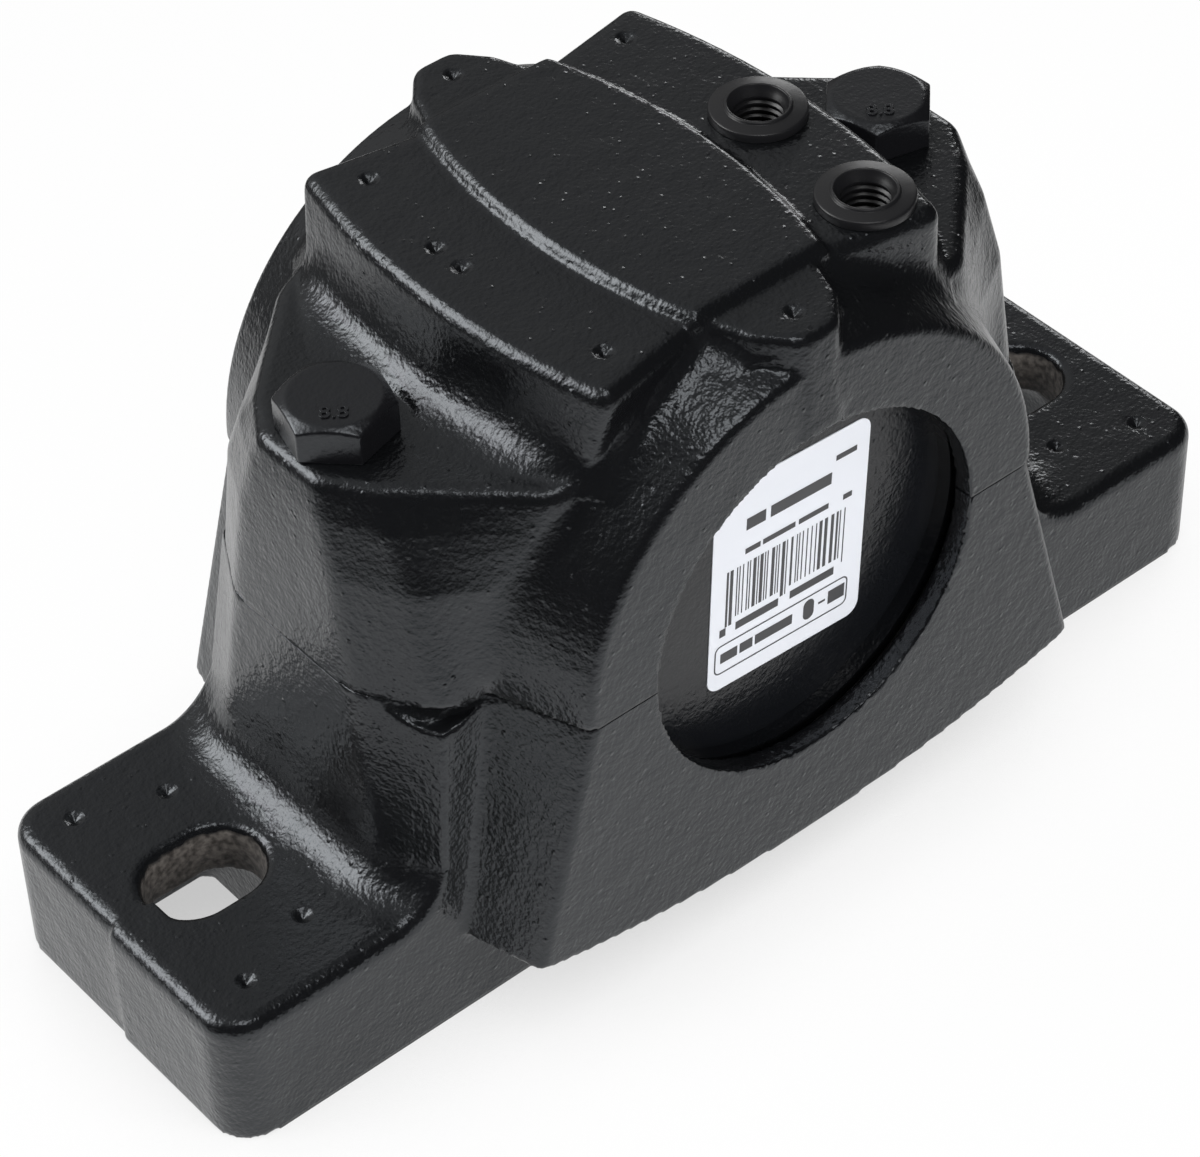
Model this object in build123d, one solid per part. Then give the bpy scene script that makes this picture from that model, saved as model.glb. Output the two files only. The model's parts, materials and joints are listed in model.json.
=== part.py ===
from build123d import *
import os

os.makedirs("parts", exist_ok=True)

# Split plummer block housing: an iron base and cap that clamp a bearing seat
# between them. X runs along the foot, Y along the shaft, Z up from the mounting
# face. The origin is the middle of the mounting face, and the covered end is -Y.

# Foot
foot_l = 204.2
foot_w = 60.0
foot_h = 25.0
foot_corner_r = 7.0
foot_rim_r = 2.5
foot_blend_r = 9.0
mould_shift = 0.8
mould_reach = 8.0
slot_inset = 17.1
hole_pitch = foot_l - 2 * slot_inset
slot_l = 20.0
slot_w = 15.0
slot_rim_r = 1.5

# Split plane, shaft axis and ends of the barrel
axis_z = 60.0
barrel_y = 44.0
barrel_r_end = 44.4
barrel_r_root = 50.4
barrel_root_y = 27.0
barrel_edge_r = 1.5
cone_step = 0.7
skirt_half_w = 55.5
skirt_root_half_w = 61.0
skirt_z = 17.0
skirt_sag = 6.7
skirt_root_y = 24.0

# Bolt towers seen from above: corners of one quadrant, from the foot up to the deck
pad_z = 95.0
tower_foot = [(66.2, 20.0), (62.0, foot_w / 2), (50.0, foot_w / 2)]
tower_split = [(65.0, 14.0), (57.8, 26.8), (48.0, 28.0), (12.0, 27.5)]
tower_waist = [(64.2, 10.8), (58.3, 22.3), (44.5, 30.6), (12.0, 29.5)]
tower_neck = [(63.6, 8.0), (58.4, 17.9), (40.0, 32.8), (12.0, 30.5)]
tower_deck = [(60.5, 0.6), (54.4, 3.6), (31.4, 35.8), (12.0, 31.6)]
waist_drop = 15.0
neck_drop = 6.0
deck_z = 110.2
deck_half_l = 36.5
deck_foot_half_l = 38.5
deck_bow_r = 134.0
deck_blend_r = 4.5
deck_edge_r = 2.5

# Raised panel and rounded lugs on the deck
panel_h = 1.8
panel_half_w = 12.0
panel_bulge = 4.5
panel_half_l = 30.5
panel_slope = 30.0
lug_root_half_w = 11.6
lug_tip_half_w = 8.0
lug_shoulder_y = 38.5
lug_tip_y = 43.9
lug_foot_z = 92.0
lug_corner_r = 3.6
lug_edge_r = 1.5

# Bearing space, turned about the shaft axis
seat_d = 90.0
seat_w = 41.0
side_d = 85.0
side_half_w = 31.0
opening_d = 62.6
groove_d = 72.0
groove_in_y = 35.0
groove_w = 5.5

# Cap bolts, M10, whose holes stand a little to one side in the casting
bolt_x = 52.8
bolt_shift = -0.5
bolt_d = 10.0
bolt_len = 55.0
bolt_clear_d = 11.0
bolt_tap_d = 10.4
bolt_tap_depth = 22.0
bolt_af = 16.0
bolt_head_h = 6.4
bolt_turns = {-1: 15.0, 1: 45.7}
bolt_spots = {side: side * bolt_x + bolt_shift for side in (-1, 1)}
spot_face_d = 19.4

# Locating pins between base and cap, on one diagonal
pin_x = 54.5
pin_y = 17.0
pin_d = 5.0
pin_l = 14.0
pin_clear = 0.2

# Lubrication holes and their hollow plugs
plug_spots = [(27.5, 0.0), (25.0, -26.0)]
plug_flange_d = 15.2
plug_flange_t = 1.8
plug_body_d = 10.2
plug_body_l = 8.0
plug_bore_d = 8.2
plug_mouth_d = 9.6
plug_hole_d = 10.6
plug_hole_depth = 9.0
grease_way_d = 6.0

# End cover in the front groove, its cord and its label
cover_gap = 0.3
cover_rim_d = 69.0
cover_rim_w = 3.0
cover_lip_d = 65.2
cover_step = 0.7
cover_t = 3.0
cord_d = 2.0
cord_gap = 0.1
cord_r = groove_d / 2 - cord_gap - cord_d / 2
label_w = 31.0
label_h = 39.0
label_t = 0.15
label_corner_r = 2.5
label_x = 1.4
label_z = axis_z + 0.9
label_turn = -3.0

# Underside coring
core_wall_y = 10.5
foot_core_in = hole_pitch / 2 - 12.5
foot_core_out = foot_l / 2 - 6.1
foot_core_z = 15.5
body_core_x = 64.0
body_core_y = 21.0
body_core_z = 34.0
seat_wall = 6.5
core_corner_r = 3.0
skirt_core_in = 26.0
skirt_core_out = 49.0
skirt_core_y = 31.5
skirt_core_w = 8.0
skirt_core_z = 44.0

# Pit marks, and pry notches at the split
mark_d = 3.6
mark_depth = 1.7
foot_marks = [(hole_pitch / 2 - 5.7, 17.2), (hole_pitch / 2 + 8.4, 22.0)]
deck_marks = [(-25.5, 26.7), (-28.4, 7.4), (-28.4, 1.4), (-25.5, -26.7), (25.5, 28.0), (0.0, 38.5), (0.0, -38.0)]
pry_gap = 3.8
pry_l = 16.0
pry_w = 7.0
pry_spot = (-58.5, -25.7)
pry_turn = -38.0


def plan_section(corners, z, radii):
    """A face at height z, mirrored into all four quadrants, with rounded corners."""
    quads = corners + [(-x, y) for x, y in reversed(corners)]
    quads += [(-x, -y) for x, y in corners] + [(x, -y) for x, y in reversed(corners)]
    face = make_face(Polyline(*quads, close=True))
    for (x, y), r in zip(corners, radii):
        if r:
            at = [v for v in face.vertices() if abs(abs(v.X) - x) < 1e-6 and abs(abs(v.Y) - y) < 1e-6]
            face = fillet(at, r)
    return Pos(0, 0, z) * face


def edges_where(solid, test):
    """Edges of a solid whose bounding box passes a test."""
    return [e for e in solid.edges() if test(e.bounding_box())]


def level(b, z):
    """True for an edge that lies at height z."""
    return abs(b.min.Z - z) < 1e-3 and abs(b.max.Z - z) < 1e-3


def turned(points):
    """A solid turned about the shaft axis from (radius, y) points."""
    face = make_face(Polyline(*[(r, y) for r, y in points], close=True))
    return Pos(0, 0, axis_z) * revolve(face, Axis.Y, 360)


def half_space(upper):
    """A block that keeps what lies above or below the split plane."""
    return Pos(0, 0, axis_z + (foot_l / 2 if upper else -foot_l / 2)) * Box(2 * foot_l, 2 * foot_l, foot_l)


def pit_marks(spots, z):
    """Small conical pits in a surface at height z."""
    return [Pos(x, y, z - mark_depth / 2 + 0.01) * Cone(0.2, mark_d / 2, mark_depth) for x, y in spots]


def bearing_space():
    """Everything that is turned out of the housing about the shaft axis."""
    space = turned([(0, -seat_w / 2), (seat_d / 2, -seat_w / 2), (seat_d / 2, seat_w / 2), (0, seat_w / 2)])
    space += turned([(0, -side_half_w), (side_d / 2, -side_half_w), (side_d / 2, side_half_w), (0, side_half_w)])
    end = barrel_y + 1
    space += turned([(0, -end), (opening_d / 2, -end), (opening_d / 2, end), (0, end)])
    for side in (-1, 1):
        y1, y2 = side * groove_in_y, side * (groove_in_y + groove_w)
        space += turned([(0, y1), (groove_d / 2, y1), (groove_d / 2, y2), (0, y2)])
    return space


def base_casting():
    """Foot, tower feet and lower half of the barrel."""
    foot = extrude(RectangleRounded(foot_l, foot_w, foot_corner_r), foot_h)
    lower = plan_section(tower_foot, foot_h, (6, 0, 0))
    upper = plan_section(tower_split[:3], axis_z, (8, 0, 0))
    body = foot + loft([lower, upper], ruled=True)

    # The towers run into the foot with a wide hollow, then the foot's rim is eased
    corner_x = foot_l / 2 - foot_corner_r
    hollow = edges_where(body, lambda b: level(b, foot_h) and abs(b.center().X) < corner_x
                         and abs(b.center().Y) < foot_w / 2 - 0.1)
    body = fillet(hollow, foot_blend_r)
    rim = edges_where(body, lambda b: level(b, foot_h) and max(-b.min.X, b.max.X) > corner_x - 0.1)
    body = fillet(rim, foot_rim_r)

    # Skirt of the barrel, wider towards the middle and hollowed below in an arc
    for side in (-1, 1):
        sections = []
        for y, top_w, low_w in ((barrel_y, barrel_r_end - cone_step, skirt_half_w),
                                (skirt_root_y, barrel_r_root + cone_step, skirt_root_half_w)):
            outline = Polyline((-low_w, skirt_z), (-top_w, axis_z), (top_w, axis_z), (low_w, skirt_z))
            bottom = ThreePointArc((low_w, skirt_z), (0, skirt_z - skirt_sag), (-low_w, skirt_z))
            face = make_face(outline + bottom)
            sections.append(Plane(origin=(0, side * y, 0), x_dir=(1, 0, 0), z_dir=(0, -1, 0)) * face)
        skirt = loft(sections, ruled=True)
        upright = edges_where(skirt, lambda b: abs(b.min.Y - b.max.Y) < 1e-3 and abs(abs(b.min.Y) - barrel_y) < 1e-3
                              and b.max.Z - b.min.Z > (axis_z - skirt_z) / 2)
        skirt = fillet(upright, barrel_edge_r)
        body += skirt
    return body


def base():
    """The base with its bores, cores, slots and notches."""
    body = base_casting()
    body -= half_space(True)
    body -= underside_core()
    body -= bearing_space()

    # Fixing slots through the feet, with eased rims on top
    for side in (-1, 1):
        slot = SlotOverall(slot_l, slot_w)
        body -= Pos(side * hole_pitch / 2, 0, -1) * extrude(slot, foot_h + 2)
    rims = edges_where(body, lambda b: level(b, foot_h) and abs(abs(b.center().X) - hole_pitch / 2) < slot_l / 2 + 0.1
                       and abs(b.center().Y) < slot_w / 2 + 0.1)
    body = fillet(rims, slot_rim_r)

    # Mould mismatch: the front half of one end stands proud of the rear half
    lip = extrude(RectangleRounded(foot_l, foot_w, foot_corner_r), foot_h)
    lip = fillet(edges_where(lip, lambda b: level(b, foot_h)), foot_rim_r)
    lip = Pos(-mould_shift, 0, 0) * lip
    lip &= Pos(-foot_l / 2, -foot_w / 4, foot_h / 2) * Box(2 * mould_reach, foot_w / 2, foot_h + 1)
    body += lip

    # Threaded holes, pin holes and pit marks
    for side in (-1, 1):
        tap_h = bolt_tap_depth + 1
        body -= Pos(bolt_spots[side], 0, axis_z + 1 - tap_h / 2) * Cylinder(bolt_tap_d / 2, tap_h)
        body -= Pos(side * pin_x, side * pin_y, axis_z - pin_l / 4) * Cylinder(pin_d / 2 + pin_clear, pin_l / 2 + 1)
    for mark in pit_marks([(sx * x, sy * y) for x, y in foot_marks for sx in (-1, 1) for sy in (-1, 1)], foot_h):
        body -= mark

    # Pry notches: two corners of the base are scooped out below the split
    scoop_r = ((pry_l / 2) ** 2 + pry_gap ** 2) / (2 * pry_gap)
    notch = Pos(*pry_spot, axis_z + scoop_r - pry_gap) * Rot(0, 0, pry_turn) * Rot(90, 0, 0) * Cylinder(scoop_r, pry_w)
    for turn in (0, 180):
        body -= Rot(0, 0, turn) * notch
    return body


def underside_core():
    """Pockets cast into the underside of the feet and of the body."""
    half_y = foot_w / 2 - core_wall_y
    core = None
    for side in (-1, 1):
        mid = side * (foot_core_in + foot_core_out) / 2
        plan = RectangleRounded(foot_core_out - foot_core_in, 2 * half_y, core_corner_r)
        pocket = Pos(mid, 0, -1) * extrude(plan, foot_core_z + 1, taper=1.5)
        core = pocket if core is None else core + pocket
    plan = RectangleRounded(2 * body_core_x, 2 * body_core_y, core_corner_r)
    core += Pos(0, 0, -1) * extrude(plan, body_core_z + 1, taper=2)
    plan = Rectangle(skirt_core_out - skirt_core_in, skirt_core_w)
    for side in (-1, 1):
        for end in (-1, 1):
            pocket = extrude(plan, skirt_core_z + 1, taper=1)
            mid = side * (skirt_core_in + skirt_core_out) / 2
            core += Pos(mid, end * (skirt_core_y + skirt_core_w / 2), -1) * pocket
    keep = seat_d / 2 + seat_wall
    groove_keep = groove_d / 2 + seat_wall
    core -= turned([(0, -side_half_w), (keep, -side_half_w), (keep, side_half_w), (0, side_half_w)])
    core -= turned([(0, -foot_w), (groove_keep, -foot_w), (groove_keep, foot_w), (0, foot_w)])
    return core


def cap_core():
    """Bolt towers and deck: a bowed front-view outline cut to a drafted plan."""
    sections = [plan_section(tower_split, axis_z, (8, 8, 12, 0)),
                plan_section(tower_waist, pad_z - waist_drop, (8, 8, 12, 0)),
                plan_section(tower_neck, pad_z - neck_drop, (7, 7, 10, 0)),
                plan_section(tower_deck, deck_z + 1, (0.5, 5, 5, 0))]
    envelope = loft(sections, ruled=True)
    out = foot_l / 2
    outline = make_face(Polyline((0, axis_z), (out, axis_z), (out, pad_z), (deck_foot_half_l, pad_z),
                                 (deck_half_l, deck_z), (0, deck_z), close=True))
    outline = Plane.XZ * outline
    corner = [v for v in outline.vertices() if abs(v.X - deck_foot_half_l) < 1e-6]
    outline = fillet(corner, deck_blend_r)
    bow_axis = Axis((deck_half_l - deck_bow_r, 0, 0), (0, 0, 1))
    side = revolve(outline, bow_axis, 40).rotate(bow_axis, -20)
    core = envelope & (side + mirror(side, Plane.YZ))
    top = [e for e in core.edges() if e.bounding_box().min.Z > pad_z - 0.1
           and not (e.geom_type == GeomType.CIRCLE and level(e.bounding_box(), e.bounding_box().min.Z)
                    and e.bounding_box().min.Z < deck_z - 0.1)]
    return fillet(top, deck_edge_r)


def lug(side):
    """Rounded lug that carries the deck out to one end of the arch."""
    half = [(lug_root_half_w, panel_half_l - 6), (lug_root_half_w - 0.6, panel_half_l), (lug_tip_half_w, lug_shoulder_y),
            (3.5, lug_tip_y)]
    face = make_face(Polyline(*half, *[(-x, y) for x, y in reversed(half)], close=True))
    face = fillet([v for v in face.vertices() if v.Y > lug_shoulder_y - 0.1], lug_corner_r)
    body = Pos(0, 0, deck_z) * extrude(face, -(deck_z - lug_foot_z), taper=-3)
    body = fillet(edges_where(body, lambda b: level(b, deck_z) and b.center().Y > panel_half_l - 5), lug_edge_r)
    return body if side > 0 else mirror(body, Plane.XZ)


def panel():
    """Raised panel along the middle of the deck, bowed outward on both sides."""
    w, l, mid = panel_half_w, panel_half_l, panel_half_w + panel_bulge
    wire = Line((-w, -l), (w, -l)) + ThreePointArc((w, -l), (mid, 0), (w, l))
    wire += Line((w, l), (-w, l)) + ThreePointArc((-w, l), (-mid, 0), (-w, -l))
    return Pos(0, 0, deck_z + panel_h) * extrude(make_face(wire), -panel_h - 0.5, taper=-panel_slope)


def cap():
    """The cap: arch, towers, deck, lugs and panel, less everything turned and drilled."""
    arch = turned([(0, -barrel_y), (barrel_r_end, -barrel_y), (barrel_r_root, -barrel_root_y),
                   (barrel_r_root, barrel_root_y), (barrel_r_end, barrel_y), (0, barrel_y)])
    rims = edges_where(arch, lambda b: abs(abs(b.center().Y) - barrel_y) < 1e-3)
    arch = fillet(rims, barrel_edge_r) - half_space(False)
    body = arch + cap_core() + lug(1) + lug(-1) + panel()
    body -= bearing_space()
    for side in (-1, 1):
        body -= Pos(bolt_spots[side], 0, (axis_z + pad_z) / 2) * Cylinder(bolt_clear_d / 2, pad_z - axis_z + 4)
        body -= Pos(bolt_spots[side], 0, pad_z + bolt_head_h / 2) * Cylinder(spot_face_d / 2, bolt_head_h)
        body -= Pos(side * pin_x, side * pin_y, axis_z + pin_l / 4) * Cylinder(pin_d / 2 + pin_clear, pin_l / 2 + 1)
    for x, y in plug_spots:
        body -= Pos(x, y, deck_z - plug_hole_depth / 2) * Cylinder(plug_hole_d / 2, plug_hole_depth + 0.02)
        body -= Pos(x, y, deck_z - 12) * Cylinder(grease_way_d / 2, 20)
    for mark in pit_marks(deck_marks, deck_z):
        body -= mark
    return body


def cap_bolts():
    """Two hexagon bolts with chamfered heads."""
    bolts = []
    for side in (-1, 1):
        head = extrude(RegularPolygon(bolt_af / 2, 6, major_radius=False), bolt_head_h)
        dome = Pos(0, 0, bolt_head_h / 2) * Cylinder(bolt_af / 2 + 2, bolt_head_h)
        top = edges_where(dome, lambda b: level(b, bolt_head_h))
        head &= chamfer(top, 1.6, 2.9)
        shank = Pos(0, 0, -bolt_len / 2) * Cylinder(bolt_d / 2, bolt_len)
        shank = chamfer(edges_where(shank, lambda b: level(b, -bolt_len)), 1.2)
        bolts.append(Pos(bolt_spots[side], 0, pad_z) * Rot(0, 0, bolt_turns[side]) * (head + shank))
    return bolts


def locating_pins():
    """Two plain pins across the split."""
    pins = []
    for side in (-1, 1):
        pin = Cylinder(pin_d / 2, pin_l)
        pin = chamfer(edges_where(pin, lambda b: level(b, b.min.Z)), 0.5)
        pins.append(Pos(side * pin_x, side * pin_y, axis_z) * pin)
    return pins


def lubrication_plugs():
    """Two flanged plugs, hollow from above and closed below."""
    plugs = []
    for x, y in plug_spots:
        flange = Pos(0, 0, plug_flange_t / 2) * Cylinder(plug_flange_d / 2, plug_flange_t)
        flange = chamfer(edges_where(flange, lambda b: level(b, plug_flange_t)), 0.4)
        plug = flange + Pos(0, 0, -plug_body_l / 2) * Cylinder(plug_body_d / 2, plug_body_l)
        plug -= Pos(0, 0, plug_flange_t - 3.4) * Cylinder(plug_bore_d / 2, 6.8)
        mouth = plug_mouth_d / 2
        plug -= Pos(0, 0, plug_flange_t - 0.35) * Cone(plug_bore_d / 2, mouth, 0.72)
        ring = Pos(0, 0, -1.4) * Cylinder(plug_bore_d / 2 + 0.2, 0.7) - Pos(0, 0, -1.4) * Cylinder(plug_bore_d / 2 - 0.5, 1)
        plugs.append(Pos(x, y, deck_z) * (plug + ring))
    return plugs


def end_cover():
    """Flat cover with a raised lip, held by its rim in the front groove."""
    back = -(groove_in_y + cover_gap)
    front = back - cover_rim_w
    flat = -(groove_in_y + cover_step)
    lip, rim, spigot = cover_lip_d / 2, cover_rim_d / 2, opening_d / 2 - cover_gap
    return turned([(0, flat), (lip, flat), (lip, front), (rim, front), (rim, back), (spigot, back),
                   (spigot, flat + cover_t), (0, flat + cover_t)])


def seal_cord():
    """Round rubber cord between the cover's rim and the front side of the groove."""
    mid = -(groove_in_y + groove_w - cord_gap - cord_d / 2)
    return Pos(0, mid, axis_z) * Rot(90, 0, 0) * Torus(cord_r, cord_d / 2)


def cover_label():
    """Blank paper label stuck on the flat of the cover, with rounded corners."""
    flat = -(groove_in_y + cover_step)
    sheet = extrude(RectangleRounded(label_w, label_h, label_corner_r), label_t)
    sheet = Rot(90, 0, 0) * Rot(0, 0, label_turn) * sheet
    return Pos(label_x, flat, label_z) * sheet


parts = {
    "base_casting": base(),
    "cap_casting": cap(),
    "cap_bolts": Compound(children=cap_bolts()),
    "locating_pins": Compound(children=locating_pins()),
    "lubrication_plugs": Compound(children=lubrication_plugs()),
    "end_cover": end_cover(),
    "seal_cord": seal_cord(),
    "cover_label": cover_label(),
}
for name, shape in parts.items():
    shape.label = name
    export_step(shape, f"parts/{name}.step")
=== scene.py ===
# %% [markdown]
# # A split plummer block, black paint over cast iron
#
# The object is a bearing housing: a base with two slotted feet and a cap bolted down on it. The
# CAD model gives every casting, bolt and bore its real size and place. This script dresses it:
# it gives the castings their soft foundry skin, remodels the bolts and the plugs with their
# rounded edges, and sets up the light of a product photograph.
#
# Sizes are in metres, and MM turns millimetres into them. The frame is the CAD's: X along the
# foot, Y along the shaft, Z up, with the origin in the middle of the mounting face. The end with
# the cover is -Y.

# %% Load the frame
import json
import math
import random

import bmesh
import bpy
import numpy as np
from mathutils import Matrix, Vector


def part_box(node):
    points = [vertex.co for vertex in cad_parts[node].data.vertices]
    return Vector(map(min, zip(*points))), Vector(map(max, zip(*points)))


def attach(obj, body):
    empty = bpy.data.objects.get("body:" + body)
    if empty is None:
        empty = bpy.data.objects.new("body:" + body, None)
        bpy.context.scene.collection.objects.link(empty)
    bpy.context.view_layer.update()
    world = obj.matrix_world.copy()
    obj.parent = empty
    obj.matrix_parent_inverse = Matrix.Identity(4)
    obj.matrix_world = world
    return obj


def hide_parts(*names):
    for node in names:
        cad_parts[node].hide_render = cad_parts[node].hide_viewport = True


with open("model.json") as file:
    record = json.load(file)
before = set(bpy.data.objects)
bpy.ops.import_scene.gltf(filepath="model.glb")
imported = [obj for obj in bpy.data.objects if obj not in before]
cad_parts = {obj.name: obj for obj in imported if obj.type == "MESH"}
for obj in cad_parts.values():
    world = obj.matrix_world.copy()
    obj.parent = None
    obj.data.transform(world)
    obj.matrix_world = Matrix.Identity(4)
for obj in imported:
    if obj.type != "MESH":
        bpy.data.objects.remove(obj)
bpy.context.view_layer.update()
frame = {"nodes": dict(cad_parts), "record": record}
nodes = frame["nodes"]

MM = 0.001

# %% [markdown]
# ## Values that several steps share
#
# The shaft axis and the split between base and cap lie at the same height. Levels and slots are
# read from the CAD nodes and from the record's mounts, so the dressing follows the model. Only the
# flange of a plug, the height of a bolt head and the bearing seat are typed, because neither a
# node's box nor a mount gives them.

# %% Levels and radii
mounts = {mount["name"]: mount for mount in frame["record"]["mounts"]}
split_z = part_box("cap_casting")[0].z
flange_t = 1.8 * MM
deck_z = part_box("lubrication_plugs")[1].z - flange_t
bolt_head_h = 6.4 * MM
pad_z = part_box("cap_bolts")[1].z - bolt_head_h
front_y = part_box("base_casting")[0].y
foot_h = mounts["foot_bolts"]["pos_m"][2]
slot_x = mounts["foot_bolts"]["dims"]["spacing_x_mm"] / 2 * MM
slot_r = mounts["foot_bolts"]["dims"]["hole_r_mm"] * MM
slot_run = mounts["foot_bolts"]["dims"]["slot_length_mm"] / 2 * MM - slot_r
opening_r = mounts["shaft_opening"]["dims"]["r_mm"] * MM
seat_r = 45 * MM
print("split at", round(split_z, 4), "deck at", round(deck_z, 4), "front face at", round(front_y, 4))

# %% [markdown]
# ## The camera
#
# The camera comes first, because it decides which details are worth the most work. It looks down
# on the near left corner with a long lens, as product photographs are taken, so the edges stay
# nearly parallel. Its place was found by matching the outline and corners of known size. The
# small shift stands for the crop of the picture.

# %% Camera at the photograph's angle
image_w, image_h = 1200, 1157
azimuth = math.radians(-38.695)
elevation = math.radians(42.972)
roll = math.radians(-2.207)
aim = Vector((0, 0, 0.050))
distance = 0.63395
sideways, upward = 0.007268, 0.012416
focal_px = 4053.8
centre_px = (580.34, 574.98)
sensor_w = 36

back = Vector((math.sin(azimuth) * math.cos(elevation), -math.cos(azimuth) * math.cos(elevation),
               math.sin(elevation)))
level_right = (-back).cross(Vector((0, 0, 1))).normalized()
level_up = level_right.cross(-back)
right = math.cos(roll) * level_right + math.sin(roll) * level_up
up = math.cos(roll) * level_up - math.sin(roll) * level_right
eye = aim + back * distance - right * sideways - up * upward

bpy.ops.object.camera_add(location=eye)
camera = bpy.context.object
camera.name = "camera"
camera.matrix_world = Matrix.Translation(eye) @ Matrix((right, up, back)).transposed().to_4x4()
camera.data.sensor_width = sensor_w
camera.data.lens = sensor_w * focal_px / image_w
camera.data.shift_x = (image_w / 2 - centre_px[0]) / image_w
camera.data.shift_y = (centre_px[1] - image_h / 2) / image_w
camera.data.clip_start, camera.data.clip_end = 0.05, 20
bpy.context.scene.camera = camera
print("camera at", [round(v, 4) for v in eye], "lens", round(camera.data.lens, 1))

# %% [markdown]
# ## Small helpers
#
# Operators act on whatever is selected, so each step starts from an empty selection and picks its
# own object. The helper called settle moves each new piece's place into its mesh, fastens it to
# the body that it rides on, hides the CAD node that it stands for and gives it its materials. The
# last two read and write a mesh's points as rows of numbers, which stays quick on a large mesh.


# %% Helpers for picking, applying and placing
def pick(piece):
    """Leaves only this object selected and active, in object mode."""
    if bpy.context.object and bpy.context.object.mode != "OBJECT":
        bpy.ops.object.mode_set(mode="OBJECT")
    bpy.ops.object.select_all(action="DESELECT")
    piece.select_set(True)
    bpy.context.view_layer.objects.active = piece


def apply_modifier(piece, kind, **settings):
    """Adds one modifier, sets it and applies it."""
    pick(piece)
    modifier = piece.modifiers.new(kind.lower(), kind)
    for name, value in settings.items():
        setattr(modifier, name, value)
    bpy.ops.object.modifier_apply(modifier=modifier.name)


def settle(piece, slot, node, *materials):
    """Moves the piece's place into its mesh, fastens it to the frame and gives it its materials."""
    pick(piece)
    bpy.ops.object.transform_apply(location=True, rotation=True, scale=True)
    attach(piece, "root")
    if node:
        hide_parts(node)
    piece.data.materials.clear()
    for material in materials:
        piece.data.materials.append(material)
    print(piece.name, len(piece.data.vertices), "points")


def points_of(piece, what="co"):
    """The mesh's points, or their normals, as rows of three numbers."""
    data = piece.data
    source = data.vertices if what == "co" else data.vertex_normals
    values = np.zeros(len(data.vertices) * 3, np.float32)
    source.foreach_get("co" if what == "co" else "vector", values)
    return values.reshape(-1, 3)


def put_points(piece, rows):
    """Writes rows of three numbers back as the mesh's points."""
    piece.data.vertices.foreach_set("co", rows.reshape(-1))
    piece.data.update()


# %% [markdown]
# ## Helpers for shader nodes
#
# A material is a tree of small nodes. The first helper names a group's sockets. Each of the others
# makes a node or a few and gives back the output, so the trees further down read almost like
# formulas.


# %% Node helpers
def group_socket(group, name, kind, side, value=None):
    """Adds a named socket to a node group."""
    socket = group.interface.new_socket(name=name, in_out=side, socket_type=kind)
    if value is not None:
        socket.default_value = value


def math_node(tree, operation, a, b=None):
    """A Math node fed by links or numbers."""
    node = tree.nodes.new("ShaderNodeMath")
    node.operation = operation
    for socket, source in zip(node.inputs, (a, b)):
        if source is None:
            continue
        if isinstance(source, (int, float)):
            socket.default_value = source
        else:
            tree.links.new(source, socket)
    return node.outputs[0]


def noise_node(tree, vector, scale, detail):
    """A noise texture on the given coordinates."""
    node = tree.nodes.new("ShaderNodeTexNoise")
    node.inputs["Scale"].default_value = scale
    node.inputs["Detail"].default_value = detail
    tree.links.new(vector, node.inputs["Vector"])
    return node.outputs["Fac"]


def ramp_node(tree, value, low, high, to_low=0.0, to_high=1.0):
    """Maps a value from one range to another, clamped at both ends."""
    node = tree.nodes.new("ShaderNodeMapRange")
    ends = {"From Min": low, "From Max": high, "To Min": to_low, "To Max": to_high}
    for name, end in ends.items():
        node.inputs[name].default_value = end
    tree.links.new(value, node.inputs["Value"])
    return node.outputs["Result"]


def grains(tree, place, scale, reach, rarity):
    """Round spots, 1 in the middle and 0 at the rim, that stand in only some of the cells."""
    cells = tree.nodes.new("ShaderNodeTexVoronoi")
    cells.inputs["Scale"].default_value = scale
    tree.links.new(place, cells.inputs["Vector"])
    tint = tree.nodes.new("ShaderNodeSeparateColor")
    tree.links.new(cells.outputs["Color"], tint.inputs[0])
    chosen = math_node(tree, "GREATER_THAN", tint.outputs[0], rarity)
    spot = ramp_node(tree, cells.outputs["Distance"], 0.0, reach, 1.0, 0.0)
    return math_node(tree, "MULTIPLY", spot, chosen)


def mix_values(tree, mask, a, b, kind):
    """A Mix node between two values or colours."""
    mix = tree.nodes.new("ShaderNodeMix")
    mix.data_type = kind
    sockets = {socket.name: socket for socket in mix.inputs if socket.enabled}
    tree.links.new(mask, sockets["Factor"])
    for name, source in (("A", a), ("B", b)):
        if isinstance(source, (float, tuple)):
            sockets[name].default_value = source
        else:
            tree.links.new(source, sockets[name])
    return next(socket for socket in mix.outputs if socket.enabled)


# %% [markdown]
# ## The foundry skin
#
# Painted castings are never flat. The sand leaves a slow waviness, the paint adds an orange peel,
# and here and there a grain makes a pit or a nib. It could be carved into the mesh, but all of it
# is only a tenth of a millimetre or two high, so bump is enough and keeps the meshes small. The
# group puts out a height in millimetres, which each material feeds to its own Bump node, and a
# slow blotch for the roughness. A scale of 1000 gives one wave of noise a millimetre.

# %% Scales of the skin's layers
skin_layers = ("Peel", "Ripple", "Wave", "Nibs", "Pits")
peel_scale, ripple_scale, wave_scale, blotch_scale = 1400, 520, 160, 28
nib_scale, nib_reach, nib_rarity = 430, 0.2, 0.35
pit_scale, pit_reach, pit_rarity = 210, 0.17, 0.7


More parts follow.
